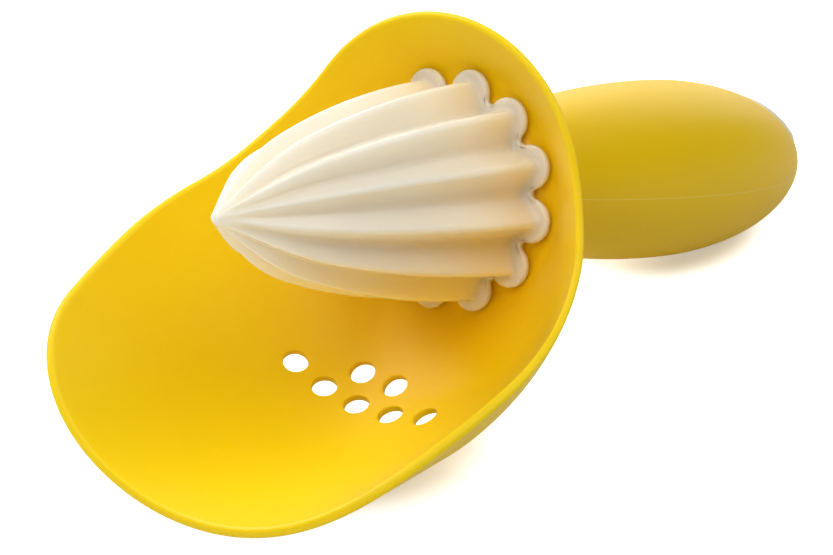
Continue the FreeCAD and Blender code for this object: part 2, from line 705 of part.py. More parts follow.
# Screw and washer that draw the head against the core, through the bowl
washer_front = -size("bulkhead_back") + size("seat_recess")
washer_back = washer_front - size("washer_thick")
washer = new_body("screw_washer")
washer_section = new_sketch(washer, "washer_section", "XZ_Plane",
                            rectangle((washer_back, size("screw_radius") + size("screw_play")),
                                      (washer_front, size("washer_radius"))))
revolve(washer, "washer_ring", washer_section)

screw = new_body("tie_screw")
head_back = washer_back - size("head_height")
head_side = head_back + size("head_round")
head_top = size("screw_head") - size("head_round")
shank_end = size("screw_reach") - size("point_length")
under_head = Vector(washer_back, size("screw_radius"), 0)
taper_start = Vector(shank_end, size("screw_radius"), 0)
taper_end = Vector(size("screw_reach"), size("screw_point"), 0)
screw_profile = new_sketch(screw, "screw_profile", "XZ_Plane", [
    line(Vector(head_back, 0, 0), Vector(head_back, head_top, 0)),
    arc(Vector(head_side, head_top, 0), size("head_round"), math.pi / 2, math.pi),
    line(Vector(head_side, size("screw_head"), 0), Vector(washer_back, size("screw_head"), 0)),
    line(Vector(washer_back, size("screw_head"), 0), under_head),
    line(under_head, taper_start),
    line(taper_start, taper_end),
    line(taper_end, Vector(size("screw_reach"), 0, 0)),
    line(Vector(size("screw_reach"), 0, 0), Vector(head_back, 0, 0)),
])
revolve(screw, "screw_turned", screw_profile)
slot_half = size("slot_width") / 2
slot = new_sketch(screw, "slot_outline", "YZ_Plane",
                  rectangle((-slot_half, -size("washer_radius")), (slot_half, size("washer_radius"))))
slot.AttachmentOffset = Placement(Vector(0, 0, head_back + size("slot_depth")), Rotation())
pocket(screw, "slot", slot, "Sizes.head_height")

doc.recompute()

# At rest: tipped until the bowl's belly and the handle's underside are equally low

def lowest(tilt):
    """Depths below the frame's origin of the bowl's belly and of the handle, tipped by tilt."""
    down = Vector(math.sin(tilt), math.cos(tilt), 0)
    bowl_low = outer_long.x * down.x - outer_long.y * down.y - OUTER_LONG
    handle = on_handle(-size("handle_middle"), 0)
    lean = tilt + DROOP
    reach = math.hypot(size("handle_tail") * math.sin(lean), size("handle_radius") * math.cos(lean))
    return bowl_low, handle.x * down.x + handle.y * down.y - reach


def rest_tilt():
    """Tilt at which both depths agree, by halving."""
    low, high = math.radians(5), math.radians(30)
    for _ in range(HALVINGS):
        tilt = (low + high) / 2
        bowl_low, handle_low = lowest(tilt)
        if bowl_low < handle_low:
            low = tilt
        else:
            high = tilt
    return tilt


HALVINGS = 50
pieces = [head, seal, bowl, core_upper, core_lower, grip, insert, screw, washer]
TILT = rest_tilt()
tipped = Rotation(Vector(0, 1, 0), -math.degrees(TILT))
for piece in pieces:
    piece.Placement = Placement(Vector(0, 0, 0), tipped)
doc.recompute()
bounds = Part.makeCompound([piece.Shape for piece in pieces]).optimalBoundingBox(False)
middle_x = (bounds.XMin + bounds.XMax) / 2
print("rest tilt", round(math.degrees(TILT), 4), "depths of bowl and handle", lowest(TILT))
print("lowest", round(bounds.ZMin, 4), "middle", round(middle_x, 4))
for piece in pieces:
    piece.Placement = Placement(Vector(-middle_x, 0, -bounds.ZMin), tipped)
doc.recompute()

# Every object and every piece is checked before a file is written
faulty = [item.Name for item in doc.Objects if "Invalid" in item.State or "Error" in item.State]
if faulty:
    raise RuntimeError("objects not built: " + ", ".join(faulty))
for piece in pieces:
    if piece.Shape.isNull() or not piece.Shape.isValid():
        raise RuntimeError("piece not valid: " + piece.Label)
    if len(piece.Shape.Solids) != 1:
        raise RuntimeError("piece is not one solid: " + piece.Label)
    print(piece.Label, "volume", round(piece.Shape.Volume), "faces", len(piece.Shape.Faces))

os.makedirs("parts", exist_ok=True)
for piece in pieces:
    piece.Shape.exportStep("parts/%s.step" % piece.Label)
box = Part.makeCompound([piece.Shape for piece in pieces]).optimalBoundingBox(False)
print("overall", round(box.XLength, 1), round(box.YLength, 1), round(box.ZLength, 1), box)
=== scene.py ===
# %% [markdown]
# This script dresses a hand-held citrus reamer: a white ridged cone in a yellow catcher bowl, on a thick
# yellow handle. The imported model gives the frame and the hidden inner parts, and every outer piece is made
# again here with finer edges and its real finish. Shapes are worked out in millimetres in the reamer's own
# frame: X runs along the cone to its tip, Y goes across, Z is up, and the origin is the middle of the
# flange's back. Finishes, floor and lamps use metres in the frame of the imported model.

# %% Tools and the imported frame
import math

import bpy
import numpy as np
from mathutils import Matrix, Vector


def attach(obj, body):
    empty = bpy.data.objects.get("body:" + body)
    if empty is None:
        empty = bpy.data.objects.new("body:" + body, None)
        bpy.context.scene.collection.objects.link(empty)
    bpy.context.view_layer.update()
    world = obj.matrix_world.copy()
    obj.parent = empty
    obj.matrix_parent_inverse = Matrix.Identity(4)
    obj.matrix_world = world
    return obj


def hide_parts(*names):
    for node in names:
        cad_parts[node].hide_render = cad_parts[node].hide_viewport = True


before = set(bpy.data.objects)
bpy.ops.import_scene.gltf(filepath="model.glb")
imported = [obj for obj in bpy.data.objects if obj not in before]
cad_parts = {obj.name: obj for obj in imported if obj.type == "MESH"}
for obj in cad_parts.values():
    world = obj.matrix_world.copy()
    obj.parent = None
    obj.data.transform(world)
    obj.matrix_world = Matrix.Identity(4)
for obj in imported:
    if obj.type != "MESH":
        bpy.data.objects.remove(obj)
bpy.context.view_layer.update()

# %% [markdown]
# The tool lies on its belly and its handle, so its own frame is tipped by the rest angle and moved until
# the middle of its length is at X 0 and its lowest point is on the floor. One function does that for whole
# arrays of points, so each piece below can be worked out where its formula is simplest.

# %% From the reamer's own frame to the floor
REST_TILT = math.radians(14.9076)
BOX_MIDDLE = -15.6483
LOWEST = -37.5146


def laid_down(points):
    """Tips points by the rest angle about Y, moves them to the floor, and turns millimetres into metres:
    x' = x cos t - z sin t - middle, z' = x sin t + z cos t - lowest."""
    along, across, up = points[..., 0], points[..., 1], points[..., 2]
    row_x = along * math.cos(REST_TILT) - up * math.sin(REST_TILT) - BOX_MIDDLE
    row_z = along * math.sin(REST_TILT) + up * math.cos(REST_TILT) - LOWEST
    return np.stack([row_x, across, row_z], axis=-1) / 1000


# %% [markdown]
# Every new piece is one sheet of points: rows follow a path and columns go round. Neighbouring points make
# four-sided faces, and a closed end is a fan round one middle point. The volume that the faces enclose shows
# which way they look, and they are all turned round if it comes out negative.

# %% Sheets of points into meshes
def sheet_faces(rows, columns, rows_close=False):
    """Faces of a sheet whose columns close on themselves. Each has the corners
    (row, column), (row, column + 1), (row + 1, column + 1) and (row + 1, column)."""
    index = np.arange(rows * columns).reshape(rows, columns)
    if rows_close:
        index = np.vstack([index, index[:1]])
    right = np.roll(index, -1, axis=1)
    return np.stack([index[:-1], right[:-1], right[1:], index[1:]], axis=-1)


def fan_faces(ring, middle):
    """Triangles from each side of a ring of points to its middle point."""
    return np.stack([ring, np.roll(ring, -1), np.full(len(ring), middle)], axis=-1)


def capped_faces(rows, columns):
    """Faces of a sheet and of the fans that close its first and last row. The middle points of the two fans
    follow the sheet's own points."""
    first = np.arange(columns)
    last = first + (rows - 1) * columns
    middle = rows * columns
    sides = sheet_faces(rows, columns).reshape(-1, 4)
    return sides, fan_faces(first[::-1], middle), fan_faces(last, middle + 1)


def enclosed(points, faces):
    """Volume inside the faces, as the sum of the pyramids from the origin to each one."""
    total = 0.0
    for corner in range(1, faces.shape[1] - 1):
        a, b, c = points[faces[:, 0]], points[faces[:, corner]], points[faces[:, corner + 1]]
        total += np.einsum("ij,ij->i", a, np.cross(b, c)).sum() / 6
    return total


def add_piece(name, points, *groups):
    """Makes a smooth mesh object from points in the reamer's own frame. All faces of a group have the same
    number of corners."""
    if sum(enclosed(points, group) for group in groups) < 0:
        groups = [group[:, ::-1] for group in groups]
    corners = [row for group in groups for row in group.tolist()]
    mesh = bpy.data.meshes.new(name)
    mesh.from_pydata(laid_down(points).tolist(), [], corners)
    mesh.validate()
    mesh.shade_smooth()
    piece = bpy.data.objects.new(name, mesh)
    bpy.context.scene.collection.objects.link(piece)
    volume = sum(enclosed(points, group) for group in groups)
    print(name, "points", len(points), "faces", len(corners), "encloses %.0f cubic mm" % volume)
    return piece


# %% [markdown]
# The reaming head is one moulding: twelve ridges that run up a pointed arch, on a thin flange whose edge has
# a scallop behind every ridge. The ridges and the scallops are both a ring of lobes with hollow grooves
# between them, so one formula gives either outline.

# %% Outline of a ring of lobes
RIDGES = 12
HALF_PITCH = math.pi / RIDGES


def half_lobe(crest, crest_round, groove, groove_round, share):
    """Half a lobe from crest to groove: an arc round the crest's centre, a straight flank, and a hollow arc
    round the groove's centre, joined tangent. share is how much of its length lies before a point. The
    flank's normal leans from the line of centres by a, where cos a = (sum of radii) / (their distance)."""
    crest_centre = np.array([crest - crest_round, 0.0])
    groove_centre = groove * np.array([math.cos(HALF_PITCH), math.sin(HALF_PITCH)])
    across = groove_centre - crest_centre
    distance = math.hypot(*across)
    both = crest_round + groove_round
    lean = math.atan2(across[1], across[0]) - math.acos(min(1.0, both / distance))
    first = crest_round * lean
    straight = math.sqrt(max(0.0, distance ** 2 - both ** 2))
    last = groove_round * (lean - HALF_PITCH)
    run = share * (first + straight + last)
    turn = np.where(run < first, run / crest_round, lean)
    turn = np.where(run > first + straight, lean - (run - first - straight) / groove_round, turn)
    normal = np.stack([np.cos(turn), np.sin(turn)], axis=-1)
    flank = np.clip(run - first, 0, straight)[:, None] * np.array([-math.sin(lean), math.cos(lean)])
    near_crest = crest_centre + crest_round * normal + flank
    near_groove = groove_centre - groove_round * normal
    points = np.where((run > first + straight)[:, None], near_groove, near_crest)
    return points, normal


def all_round(half):
    """Mirrors half a lobe about its crest and repeats the lobe round the circle, without doubled points."""
    mirrored = half[::-1] * np.array([1, -1])
    lobe = np.concatenate([mirrored[:-1], half[:-1]])
    turns = 2 * HALF_PITCH * np.arange(RIDGES)
    spin = np.stack([np.cos(turns), -np.sin(turns), np.sin(turns), np.cos(turns)], axis=-1).reshape(-1, 2, 2)
    return np.einsum("kij,nj->kni", spin, lobe).reshape(-1, 2)


CREST = 20.0
CREST_ROUND = 1.0
VALLEY_RING = 17.8
VALLEY_ROUND = 1.6
LOBE_RING = 18.0
LOBE_ROUND = 3.96
NOTCH_ROUND = 0.9
SHARES = np.concatenate([np.linspace(0, 0.145, 6), np.linspace(0.2, 0.8, 10), np.linspace(0.84, 1, 6)])
notch_reach = math.sqrt((LOBE_ROUND + NOTCH_ROUND) ** 2 - (LOBE_RING * math.sin(HALF_PITCH)) ** 2)
notch_ring = LOBE_RING * math.cos(HALF_PITCH) + notch_reach
ridge_half, ridge_normal_half = half_lobe(CREST, CREST_ROUND, VALLEY_RING, VALLEY_ROUND, SHARES)
scallop_half, scallop_normal_half = half_lobe(
    LOBE_RING + LOBE_ROUND, LOBE_ROUND, notch_ring, NOTCH_ROUND, SHARES)
ridge_line = all_round(ridge_half)
ridge_normal = all_round(ridge_normal_half)
scallop_line = all_round(scallop_half)
scallop_normal = all_round(scallop_normal_half)
print("columns round the head", len(ridge_line))

# %% [markdown]
# Up the cone each outline is the one at the flange made smaller. From the side the ridge tops follow a long
# arch, a tighter arch and a straight nose, like the bow of a boat, and each meets the next without a corner.
# The grooves fade out just before the blunt ball on the tip, as they do on the real moulding.

# %% The side view of the ridges
LONG_ARCH = 175.0
BASE_SLOPE = math.radians(2.0)
ARCH_SLOPE = math.radians(16.5)
NOSE_SLOPE = math.radians(34.2)
TIP_BALL = 1.5
TIP = 65.4
BALL_MIDDLE = TIP - TIP_BALL
arch_end = LONG_ARCH * (math.sin(ARCH_SLOPE) - math.sin(BASE_SLOPE))
arch_end_reach = CREST - LONG_ARCH * (math.cos(BASE_SLOPE) - math.cos(ARCH_SLOPE))
nose_end = BALL_MIDDLE + TIP_BALL * math.sin(NOSE_SLOPE)
nose_end_reach = TIP_BALL * math.cos(NOSE_SLOPE)
gap_along = nose_end - arch_end
gap_reach = arch_end_reach - nose_end_reach
tight_arch = gap_along * math.sin(NOSE_SLOPE) - gap_reach * math.cos(NOSE_SLOPE)
tight_arch /= 1 - math.cos(NOSE_SLOPE - ARCH_SLOPE)
print("long arch ends at %.1f mm, the tighter one has radius %.1f" % (arch_end, tight_arch))


def arch_drop(run, radius, start):
    """How far an arch of this radius has drawn in after a run along the axis from where its slope was start:
    the slope is now s with sin s = sin start + run / radius, and the drop is radius (cos start - cos s)."""
    slope = np.arcsin(np.clip(run / radius + math.sin(start), -1, math.sin(NOSE_SLOPE)))
    return radius * (math.cos(start) - np.cos(slope))


def ridge_reach(along):
    """Radius of the ridge tops at a place along the cone, on the long arch, the tighter one or the nose."""
    long_part = CREST - arch_drop(along, LONG_ARCH, BASE_SLOPE)
    tight_part = arch_end_reach - arch_drop(along - arch_end, tight_arch, ARCH_SLOPE)
    nose = nose_end_reach + (nose_end - along) * math.tan(NOSE_SLOPE)
    tight_end = arch_end + tight_arch * (math.sin(NOSE_SLOPE) - math.sin(ARCH_SLOPE))
    return np.select([along < arch_end, along < tight_end], [long_part, tight_part], nose)


# %% [markdown]
# Rows of points now go from the tip down the cone, through a small fillet onto the flange's face, round the
# flange's rounded edge and across its back to the hidden square spigot that turns the head in the handle.

# %% The cone's rows, from the tip to the spigot
FLANGE = 1.2
ROOT_FILLET = 1.0
EDGE_ROUND = 0.5
BACK_ROUND = 0.12
ROUND_TIP = 18.6
FADE_START = 60.0
FADE_END = 65.3
SIDE_ROWS = 84
ROW_CROWDING = 1.15
SPIGOT_HALF = 4.8
SPIGOT_END = -8.7
SPIGOT_ROUND = 0.1


def rounding(radius, bend):
    """Inset and depth of a rounded edge, where its quarter circle has turned by bend: r (1 - sin b) and
    r (1 - cos b)."""
    return radius * (1 - math.sin(bend)), radius * (1 - math.cos(bend))


def smooth_step(value, low, high):
    """Goes from 0 at low to 1 at high, level at both ends."""
    part = np.clip((value - low) / (high - low), 0, 1)
    return part * part * (3 - 2 * part)


def cone_rows():
    """Rings of the cone from the tip down to the fillet: the ridge outline times (reach here / reach at the
    flange), going over to a plain circle where the grooves fade out. Rows are closer together at the tip."""
    bend = np.linspace(math.radians(84), NOSE_SLOPE, 8)
    share = np.linspace(0, 1, SIDE_ROWS)[1:] ** ROW_CROWDING
    side = nose_end - (nose_end - FLANGE - ROOT_FILLET) * share
    along = np.concatenate([BALL_MIDDLE + TIP_BALL * np.sin(bend), side])
    reach = np.concatenate([TIP_BALL * np.cos(bend), ridge_reach(side)])
    round_line = ridge_line / np.linalg.norm(ridge_line, axis=1)[:, None] * ROUND_TIP
    fade = smooth_step(along, FADE_START, FADE_END)[:, None, None]
    outline = (1 - fade) * ridge_line + fade * round_line
    ring = outline * (reach / CREST)[:, None, None]
    return np.concatenate([np.broadcast_to(along[:, None, None], ring.shape[:2] + (1,)), ring], axis=-1)


def level_ring(along, ring):
    """One ring of points at a single place along the cone."""
    return np.concatenate([np.full((len(ring), 1), along), ring], axis=-1)


def foot_rows():
    """Fillet, face, rounded edge and back of the flange, and the spigot. Each ring as far as the flange's
    back is an outline moved along its own normal."""
    rings = []
    shrink = ridge_reach(np.array(FLANGE + ROOT_FILLET)) / CREST
    for bend in np.radians(np.linspace(15, 90, 6)):
        rise, out = rounding(ROOT_FILLET, bend)
        rings.append(level_ring(FLANGE + rise, ridge_line * shrink + ridge_normal * out))
    foot = rings[-1][:, 1:]
    edge = scallop_line - scallop_normal * EDGE_ROUND
    rings.append(level_ring(FLANGE, foot + (edge - foot) * 0.5))
    for bend in np.radians(np.linspace(0, 90, 6)):
        inset, down = rounding(EDGE_ROUND, bend)
        rings.append(level_ring(FLANGE - down, scallop_line - scallop_normal * inset))
    rings.append(level_ring(BACK_ROUND, scallop_line))
    rings.append(level_ring(0.0, scallop_line - scallop_normal * BACK_ROUND))
    square = scallop_line * (SPIGOT_HALF / np.abs(scallop_line).max(axis=1))[:, None]
    rings.append(level_ring(0.0, square * 1.06))
    rings.append(level_ring(-SPIGOT_ROUND, square))
    rings.append(level_ring(SPIGOT_END + SPIGOT_ROUND, square))
    rings.append(level_ring(SPIGOT_END, square * 0.98))
    return np.stack(rings)


head_rows = np.concatenate([cone_rows(), foot_rows()])
head_points = np.concatenate([head_rows.reshape(-1, 3), [[TIP, 0, 0], [SPIGOT_END, 0, 0]]])
reamer = add_piece("fluted_head", head_points, *capped_faces(*head_rows.shape[:2]))
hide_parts("reamer_head")
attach(reamer, "root")

# %% [markdown]
# The catcher is one thin bell turned about the cone's axis: a bend out of the flat back, a dish, a tight
# bend, a long bend and a straight flare. Its inner face is a chain of bends and straights that meet tangent,
# and its outer face is that chain moved along its own normal. The wall is thin up to the strainer holes and
# grows a little towards the pouring lip, as it does where a moulded rim has to stay stiff.

# %% The bell's inner face as a chain
BACK = 2.5
THIN = 1.4
LIP_WALL = 1.9
CHANNEL = BACK - THIN
DISH = math.radians(49.1)
SHOULDER = math.radians(35.6)
FLARE = math.radians(11.4)
SEAT_BEND = 7.0
DISH_START = 22.96
DISH_LENGTH = 13.8
TIGHT_BEND = 21.65
LONG_BEND = 53.63
bend_ahead = SEAT_BEND * (1 - math.sin(DISH)) - CHANNEL
seat_edge = DISH_START + bend_ahead * math.tan(DISH) - SEAT_BEND * math.cos(DISH)
BELL_CHAIN = [
    (math.pi / 2, SEAT_BEND, SEAT_BEND * (math.pi / 2 - DISH)),
    (DISH, None, DISH_LENGTH - bend_ahead / math.cos(DISH)),
    (DISH, TIGHT_BEND, TIGHT_BEND * (DISH - SHOULDER)),
    (SHOULDER, LONG_BEND, LONG_BEND * (SHOULDER - FLARE)),
    (FLARE, None, 60.0),
]
print("chain of the bell, lengths", [round(length, 2) for _start, _bend, length in BELL_CHAIN])


def inner_face(run):
    """Place and slope of the inner face at a distance along it: the sum of the chain's parts up to there.
    A bend of radius R from slope a to b adds R (sin a - sin b) forward and R (cos b - cos a) outward."""
    along = np.full_like(run, -CHANNEL)
    reach = np.full_like(run, seat_edge)
    slope = np.full_like(run, math.pi / 2)
    begin = 0.0
    for start, bend, length in BELL_CHAIN:
        part = np.clip(run - begin, 0, length)
        if bend is None:
            along = along + part * math.cos(start)
            reach = reach + part * math.sin(start)
        else:
            turned = start - part / bend
            along = along + bend * (math.sin(start) - np.sin(turned))
            reach = reach + bend * (np.cos(turned) - math.cos(start))
            slope = slope - part / bend
        begin += length
    return along, reach, slope


def wall_thickness(slope):
    """Thin as far as the shoulder, then growing with 1 - cos of the turn from it, up to the lip's wall."""
    growth = (LIP_WALL - THIN) / (1 - math.cos(SHOULDER - FLARE))
    return THIN + growth * (1 - np.cos(np.clip(SHOULDER - slope, 0, None)))


def wall_section(run, depth):
    """Place in the bell's section, and its slope there: depth is 0 on the inner face and 1 on the outer."""
    along, reach, slope = inner_face(run)
    offset = depth * wall_thickness(slope)
    return along - offset * np.sin(slope), reach + offset * np.cos(slope), slope


def wall_point(angle, run, depth):
    """Point of the wall at an angle round the cone from straight down."""
    along, reach, _slope = wall_section(run, depth)
    return np.stack([along, reach * np.sin(angle), -reach * np.cos(angle)], axis=-1)


def wall_normal(angle, run):
    """Unit normal of the wall's outer side."""
    slope = inner_face(run)[2]
    return np.stack([-np.sin(slope), np.cos(slope) * np.sin(angle), -np.cos(slope) * np.cos(angle)], axis=-1)


# %% [markdown]
# The rim is the bell cut by one curve seen from the side: upright behind the cone, a wide bend, a straight
# slope and the lip's bend. For each angle round the cone the cut is found by halving, because that needs no
# derivative and works on the whole array at once.

# %% The swept rim
RIM_BACK = 6.4
RIM_CORNER = 15.0
RIM_BEND = 29.35
RIM_SLOPE = math.radians(32.3)
RIM_SIDE = 33.6
LIP_BEND = 29.8
SHORTEST_WALL = 4.0
LONGEST_WALL = 95.0
HALVINGS = 40
slope_x = RIM_BACK + RIM_BEND - RIM_BEND * math.sin(RIM_SLOPE)
slope_z = RIM_CORNER - RIM_BEND * math.cos(RIM_SLOPE)
side_x = slope_x + RIM_SIDE * math.cos(RIM_SLOPE)
side_z = slope_z - RIM_SIDE * math.sin(RIM_SLOPE)
lip_x = side_x - LIP_BEND * math.sin(RIM_SLOPE)
lip_z = side_z - LIP_BEND * math.cos(RIM_SLOPE)


def rim_forward(height):
    """How far along the cone the rim lies at a height: upright line, circle, slope and circle in turn."""
    bend = RIM_BACK + RIM_BEND - np.sqrt(np.maximum(RIM_BEND ** 2 - (height - RIM_CORNER) ** 2, 0))
    side = slope_x + (slope_z - height) / math.tan(RIM_SLOPE)
    lip = lip_x + np.sqrt(np.maximum(LIP_BEND ** 2 - (height - lip_z) ** 2, 0))
    choice = [height > RIM_CORNER, height > slope_z, height > side_z]
    return np.select(choice, [np.full_like(height, RIM_BACK), bend, side], lip)


def rim_run(angle):
    """Distance along the wall where its middle meets the rim's curve, found by halving a bracket."""
    low = np.full_like(angle, SHORTEST_WALL)
    high = np.full_like(angle, LONGEST_WALL)
    for _ in range(HALVINGS):
        middle = (low + high) / 2
        along, reach, _slope = wall_section(middle, 0.5)
        short = along < rim_forward(-reach * np.cos(angle))
        low = np.where(short, middle, low)
        high = np.where(short, high, middle)
    return (low + high) / 2


HOLE_PITCH = math.radians(11.3)
CELLS = 16
PLAIN_COLUMNS = 231
angles = np.concatenate([
    np.arange(-2.5 * CELLS, 2.5 * CELLS) * HOLE_PITCH / CELLS,
    np.linspace(2.5 * HOLE_PITCH, 2 * math.pi - 2.5 * HOLE_PITCH, PLAIN_COLUMNS + 1)[:-1],
])
rim_at = rim_run(angles)
print("columns round the bowl", len(angles), "wall length", rim_at.min().round(1), rim_at.max().round(1))

# %% [markdown]
# The wall's edge is rounded, more on the inside, where a thumb or a fruit touches it. At each point of the
# rim three directions are needed: along the rim, out of the wall, and their cross product, which points past
# the edge. The section of the rim is drawn in the last two, in shares of the wall's own thickness.

# %% The rounded edge of the rim
INNER_SHARE = 0.50
OUTER_SHARE = 0.34
EDGE_MARGIN = 0.35
rim_middle = wall_point(angles, rim_at, 0.5)
rim_out = wall_normal(angles, rim_at)
rim_tangent = np.roll(rim_middle, -1, axis=0) - np.roll(rim_middle, 1, axis=0)
rim_tangent /= np.linalg.norm(rim_tangent, axis=1)[:, None]
rim_slope = inner_face(rim_at)[2]
rim_wall = wall_thickness(rim_slope)
forward = np.stack([
    np.cos(rim_slope),
    np.sin(rim_slope) * np.sin(angles),
    -np.sin(rim_slope) * np.cos(angles),
], axis=-1)
beyond = np.cross(rim_tangent, rim_out)
beyond /= np.linalg.norm(beyond, axis=1)[:, None]
beyond *= np.sign(np.einsum("ij,ij->i", beyond, forward))[:, None]
keep_back = INNER_SHARE * rim_wall / np.einsum("ij,ij->i", beyond, forward) + EDGE_MARGIN
quarter = np.radians(np.linspace(0, 90, 8))
across_arc, along_arc = 1 - np.cos(quarter), np.sin(quarter) - 1
inner_edge = np.stack([-0.5 + INNER_SHARE * across_arc, INNER_SHARE * along_arc], axis=-1)
outer_edge = np.stack([0.5 - OUTER_SHARE * across_arc, OUTER_SHARE * along_arc], axis=-1)
rim_section = np.concatenate([inner_edge, outer_edge[::-1]])[:, :, None, None] * rim_wall[:, None]
rim_rows = rim_middle + rim_section[:, 0] * rim_out + rim_section[:, 1] * beyond
print("rim length %.0f mm" % np.linalg.norm(np.roll(rim_middle, -1, axis=0) - rim_middle, axis=1).sum())

# %% [markdown]
# Seven strainer holes pierce the floor of the bowl. Holes cut with a Boolean leave thin triangles that shade
# badly on a curved wall, so the grid itself is bent round each hole: nested squares of grid points are moved
# until the inner one is a circle, and the cells inside it are left out. Where the wall is short, above the
# cone, the rows that the holes need are squeezed together, so that every line of the grid reaches the rim.

# %% Grid of the wall with room for the holes
HOLE_RADIUS = 2.25
HOLE_ROUND = 0.25
BLOCK = 7
OPEN = 5
BLOCK_HALF = 3.0
BACK_PITCH = math.radians(12.4)
BACK_ALONG = 10.25
FRONT_ALONG = 15.4
HOLE_ROWS_END = 33.5
SHORTEST_SHARE = 0.6
OUTER_ROWS = 35
probe = np.linspace(0, 60, 6001)
back_run, front_run = np.interp([BACK_ALONG, FRONT_ALONG], inner_face(probe)[0], probe)
HOLES = [(front_run, (place + 0.5) * CELLS, (place - 2) * HOLE_PITCH) for place in range(5)]
HOLES += [(back_run, (place + 2) * CELLS, (place - 0.5) * BACK_PITCH) for place in range(2)]
print("hole rows at runs %.2f and %.2f" % (back_run, front_run))

seat_end = BELL_CHAIN[0][2]
seat_part = np.linspace(0, seat_end, 12)
dish_part = np.linspace(seat_end, back_run - BLOCK_HALF, 10)[1:-1]
back_block = np.linspace(back_run - BLOCK_HALF, back_run + BLOCK_HALF, 2 * BLOCK + 1)
front_block = np.linspace(front_run - BLOCK_HALF, front_run + BLOCK_HALF, 2 * BLOCK + 1)
after = np.linspace(front_run + BLOCK_HALF, HOLE_ROWS_END, 5)[1:]
fixed = np.concatenate([dish_part, back_block, [(back_block[-1] + front_block[0]) / 2], front_block, after])
last_run = rim_at - keep_back
squeeze = np.minimum(1.0, SHORTEST_SHARE * (last_run - seat_end) / (HOLE_ROWS_END - seat_end))
scaled = seat_end + (fixed[:, None] - seat_end) * squeeze
share_left = np.linspace(0, 1, OUTER_ROWS + 1)[1:, None]
outer_part = scaled[-1] + (last_run - scaled[-1]) * share_left
seat_rows = np.broadcast_to(seat_part[:, None], (len(seat_part), len(angles)))
runs = np.concatenate([seat_rows, scaled, outer_part])
turns = np.broadcast_to(angles, runs.shape).copy()
first_block = len(seat_part) + len(dish_part)
row_of = {back_run: first_block + BLOCK, front_run: first_block + 3 * BLOCK + 2}


def to_circle(up, side):
    """Direction on a circle for a place on a square: half a side is an eighth of a turn, in even steps."""
    flat = np.abs(side) >= np.abs(up)
    along_side = math.pi / 4 * up / np.where(side == 0, 1, side)
    along_up = math.pi / 4 * side / np.where(up == 0, 1, up)
    across = np.where(flat, np.sign(side) * np.cos(along_side), np.sign(up) * np.sin(along_up))
    along = np.where(flat, np.sign(side) * np.sin(along_side), np.sign(up) * np.cos(along_up))
    return across, along


def hole_place(run, angle, across, along):
    """Wall coordinates of a point near a hole, from millimetres across and along the inner face."""
    new_run = run + along
    return angle + across / inner_face(new_run)[1], new_run


for hole_run, hole_column, hole_angle in HOLES:
    row, column = row_of[hole_run], int(hole_column)
    up, side = np.mgrid[-BLOCK:BLOCK + 1, -BLOCK:BLOCK + 1].astype(float)
    nest = np.maximum(np.maximum(np.abs(up), np.abs(side)), 1)
    across, along = to_circle(up, side)
    part = np.clip((nest - OPEN) / (BLOCK - OPEN), 0, 1)
    rows = slice(row - BLOCK, row + BLOCK + 1)
    columns = slice(column - BLOCK, column + BLOCK + 1)
    width = HOLE_PITCH / CELLS * BLOCK * inner_face(runs[rows, columns])[1]
    radius = HOLE_RADIUS + HOLE_ROUND
    across = (1 - part) * radius * across + part * width * side / nest
    along = (1 - part) * radius * along + part * BLOCK_HALF * up / nest
    centre = hole_angle + part * (angles[column] - hole_angle)
    turns[rows, columns], runs[rows, columns] = hole_place(hole_run, centre, across, along)
print("rows of the wall", len(runs))

# %% [markdown]
# Behind the seat the bowl narrows into a neck that meets the handle. The neck is round about the handle's
# own axis, which droops a little, so it isn't concentric with the bell. Each line of the blend is therefore
# its own quarter of an ellipse, from the bell's back to the neck, set in the corner where their tangents
# meet. With the neck's bore and the square hole for the head's spigot the whole section is one closed path,
# and the bowl has no open edge anywhere.

# %% Neck, bore and spigot hole
DROOP = math.radians(1.6)
HANDLE_RISE = 1.14
HANDLE_RADIUS = 16.78
HANDLE_MIDDLE = 62.7
HANDLE_NOSE = 65.0
HANDLE_TAIL = 46.4
GRIP_WALL = 2.2
NECK_JOINT = -12.0
NECK_FLARE = 8.5
NECK_ROUND = 0.3
SOCKET_HALF = 4.9
SEAL_REACH = (14.6, 16.6)
SEAL_DEPTH = 1.0
PAD_REACH = 17.3


def handle_radius(along, inset):
    """Radius of the handle's front half at a place along its axis: a half ellipse set in by a skin."""
    part = (along + HANDLE_MIDDLE) / (HANDLE_NOSE - inset)
    return (HANDLE_RADIUS - inset) * np.sqrt(1 - part ** 2)


def handle_frame(along, across, up, lean=1.0):
    """Points measured along and about the handle's drooping axis, in the reamer's frame. With lean 0 a ring
    stays square to the cone's axis instead, as it does where it lies on the bell's flat back."""
    x = along * math.cos(DROOP) - lean * up * math.sin(DROOP)
    z = HANDLE_RISE + along * math.sin(DROOP) + up * math.cos(DROOP)
    return np.stack([x, across, z], axis=-1)


def neck_ring(along, radius, lean=1.0):
    """One ring of the neck about the handle's axis."""
    return handle_frame(along, radius * np.sin(angles), -radius * np.cos(angles), lean)


def flat_ring(along, radius):
    """One ring about the cone's axis. A radius may be one number or one for every column."""
    level = np.full_like(angles, along)
    return np.stack([level, radius * np.sin(angles), -radius * np.cos(angles)], axis=-1)


